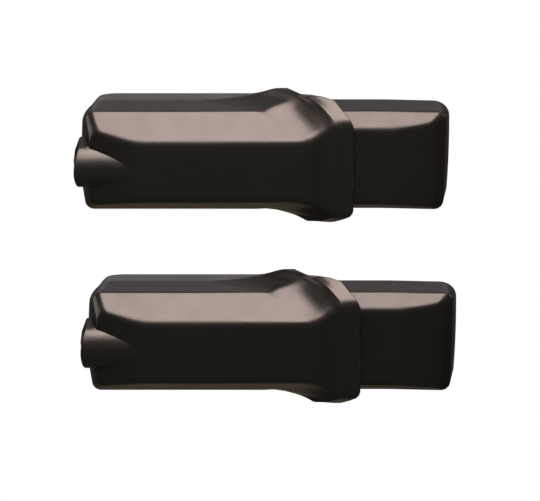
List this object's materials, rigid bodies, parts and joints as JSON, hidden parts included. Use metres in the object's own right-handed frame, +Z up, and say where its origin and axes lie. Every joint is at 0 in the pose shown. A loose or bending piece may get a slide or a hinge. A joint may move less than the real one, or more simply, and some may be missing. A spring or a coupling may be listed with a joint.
{
  "type": "skate blade guards",
  "caption": "Pair of hard walking guards for skate blades, each a long toe shell with a flared collar and a spring-loaded sliding heel shell.",
  "frame": {"origin": "on the floor plane, at the centre of the footprint box of the pair", "axes": "+X towards the toes, +Y towards guard A, +Z up out of the openings with the soles on z = 0"},
  "size_m": [0.2866, 0.2644, 0.0485],
  "materials": {
    "toe_plastic": "satin black moulded plastic",
    "heel_plastic": "satin black moulded plastic",
    "seat_rubber": "matt black rubber",
    "spring_wire": "drawn wire",
    "pin_steel": "plain",
    "screw_steel": "plain"
  },
  "bodies": {
    "toe_halves": {"toe_shell_a": "toe_plastic", "toe_blade_seat_a": "seat_rubber", "tension_spring_a": "spring_wire", "toe_spring_pin_a": "pin_steel", "toe_seat_screws_a": "screw_steel", "toe_shell_b": "toe_plastic", "toe_blade_seat_b": "seat_rubber", "tension_spring_b": "spring_wire", "toe_spring_pin_b": "pin_steel", "toe_seat_screws_b": "screw_steel"},
    "heel_a": {"heel_shell_a": "heel_plastic", "heel_blade_seat_a": "seat_rubber", "heel_spring_pin_a": "pin_steel", "heel_seat_screws_a": "screw_steel"},
    "heel_b": {"heel_shell_b": "heel_plastic", "heel_blade_seat_b": "seat_rubber", "heel_spring_pin_b": "pin_steel", "heel_seat_screws_b": "screw_steel"}
  },
  "joints": [
    {"name": "heel_slide_a", "type": "slide", "parent": "toe_halves", "child": "heel_a", "axis": [-1, 0, 0], "range_m": [0, 0.02], "stiffness_N_per_m": 150, "springref_m": -0.02, "deforming": ["tension_spring_a"]},
    {"name": "heel_slide_b", "type": "slide", "parent": "toe_halves", "child": "heel_b", "axis": [-1, 0, 0], "range_m": [0, 0.02], "stiffness_N_per_m": 150, "springref_m": -0.02, "deforming": ["tension_spring_b"]}
  ]
}
